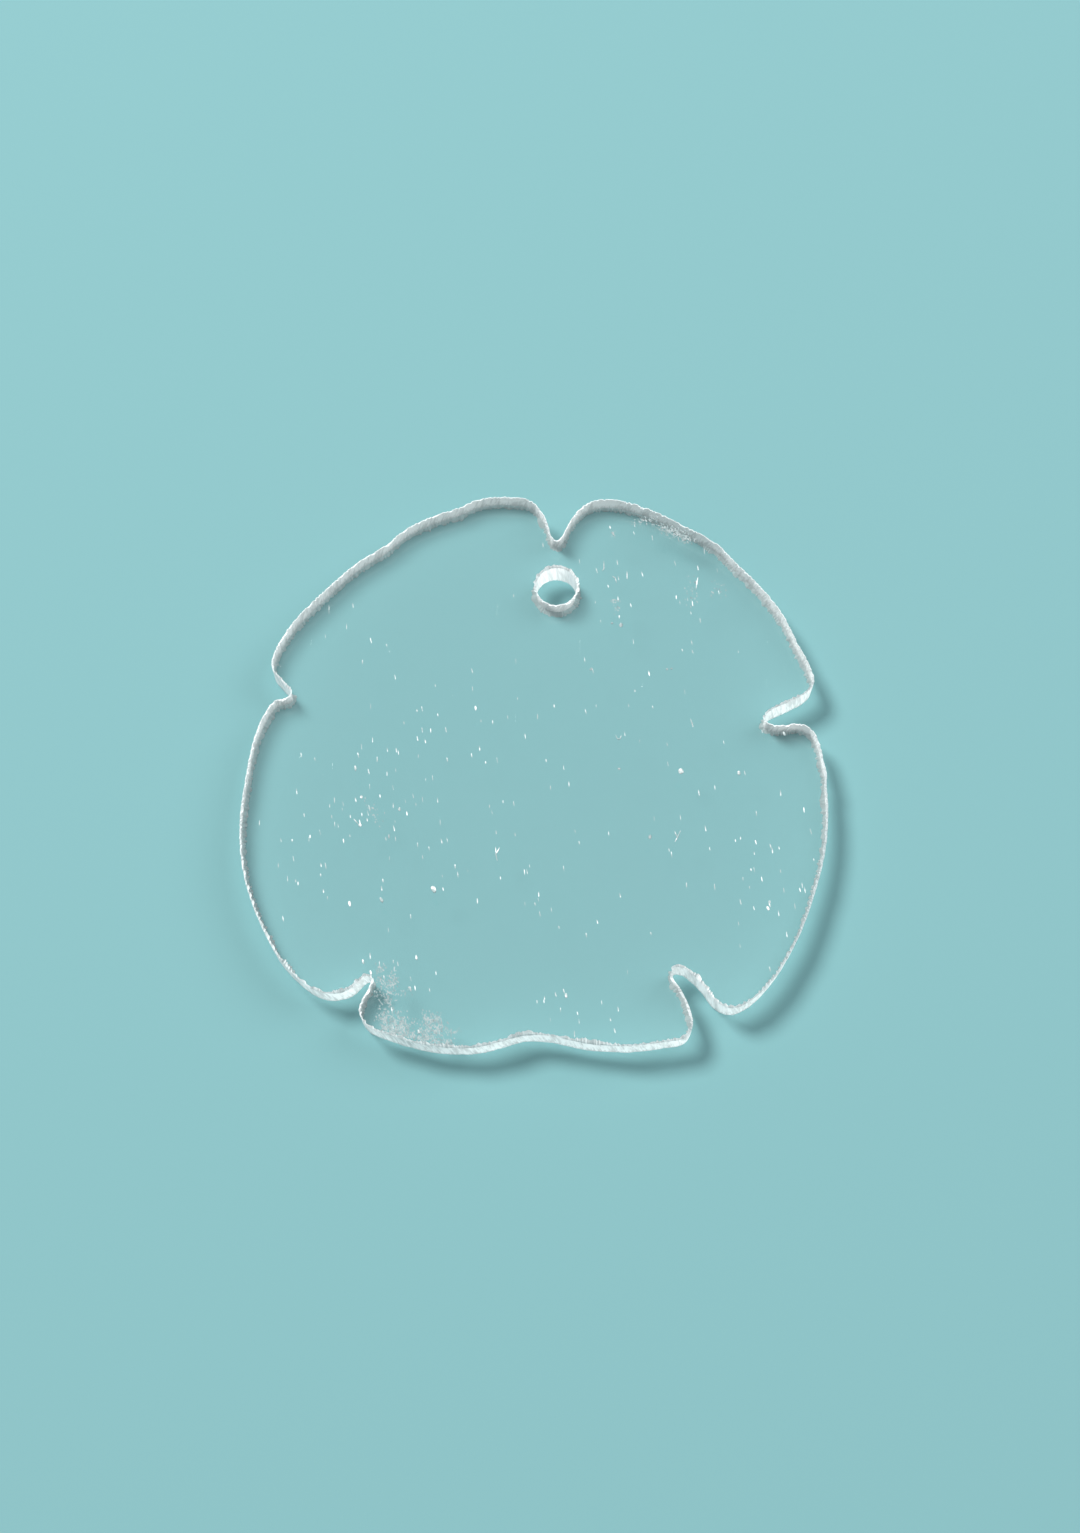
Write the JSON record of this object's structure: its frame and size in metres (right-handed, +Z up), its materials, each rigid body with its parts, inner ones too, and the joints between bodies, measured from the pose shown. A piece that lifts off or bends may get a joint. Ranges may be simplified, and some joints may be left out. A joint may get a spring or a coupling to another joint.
{
  "type": "clear acrylic sand dollar ornament",
  "caption": "Flat clear acrylic plate sawn by hand to the notched outline of a sand dollar, with a drilled hanging hole near the top notch.",
  "frame": {"origin": "middle of the plan box, on the underside", "axes": "+Z up out of the top face, +Y towards the notch beside the hole, +X to the right seen from above"},
  "size_m": [0.0912, 0.091, 0.0056],
  "materials": {
    "clear_acrylic": "clear and polished on both faces, frosted on the sawn and drilled walls"
  },
  "bodies": {
    "root": {"plate": "clear_acrylic"}
  },
  "joints": []
}
